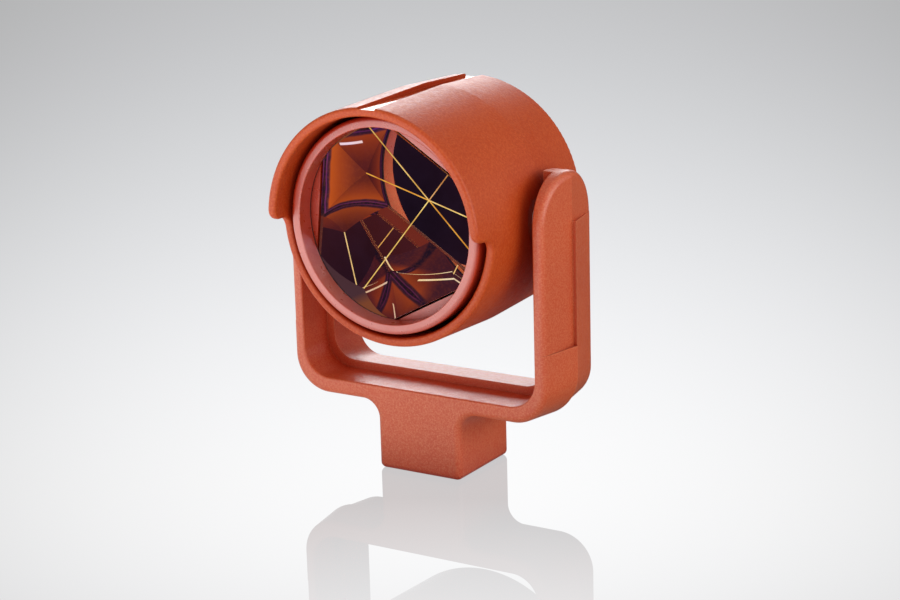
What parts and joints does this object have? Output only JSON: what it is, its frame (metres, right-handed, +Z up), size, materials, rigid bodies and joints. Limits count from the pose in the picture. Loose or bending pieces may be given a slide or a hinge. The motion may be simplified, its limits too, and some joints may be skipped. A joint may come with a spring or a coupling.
{
  "type": "survey prism",
  "caption": "Survey reflector: a round cube-corner prism in a hooded moulded barrel that tilts in a yoke with a spigot socket in its stem.",
  "frame": {"origin": "centre of the spigot socket's mouth on the stem's bottom seat", "axes": "+Z up along the socket, +X along the tilt axis to the observer's right, the prism looks along -Y"},
  "size_m": [0.1008, 0.0642, 0.1256],
  "materials": {
    "moulding": "fine-grained orange-red moulded plastic",
    "moulding_light": "smooth satin orange-red plastic",
    "coated_glass": "polished glass, copper-coloured coating behind",
    "steel": "turned stainless steel",
    "ball_steel": "polished",
    "spring_steel": "bright spring wire and strip",
    "screw_steel": "passivated stainless steel",
    "acetal": "natural white acetal",
    "black_plastic": "glass-filled black plastic",
    "rubber": "black elastomer"
  },
  "bodies": {
    "yoke": {"yoke": "moulding", "socket_bush": "steel", "catch_plug": "steel", "catch_spring": "spring_steel", "arm_bush_left": "acetal", "arm_bush_right": "acetal"},
    "barrel": {"housing": "moulding", "rear_cover": "moulding", "bezel_ring": "moulding_light", "prism_cell": "moulding_light", "friction_washer_left": "acetal", "friction_washer_right": "acetal", "pivot_pin_left": "steel", "pivot_pin_right": "steel", "front_seal": "rubber", "cover_seal": "rubber", "glass_pads": "rubber", "prism_glass": "coated_glass", "prism_cup": "black_plastic", "disc_spring": "spring_steel", "cell_cap": "black_plastic", "lock_ring": "black_plastic", "cover_screws": "screw_steel"},
    "catch": {"catch_ball": "ball_steel"}
  },
  "joints": [
    {"name": "tilt", "type": "hinge", "parent": "yoke", "child": "barrel", "pos_m": [0, 0, 0.086], "axis": [1, 0, 0], "continuous": true},
    {"name": "catch_travel", "type": "slide", "parent": "yoke", "child": "catch", "axis": [0, 1, 0], "range_m": [-0.00064, 0], "stiffness_N_per_m": 60, "springref_m": -0.0206, "deforming": ["catch_spring"]}
  ]
}
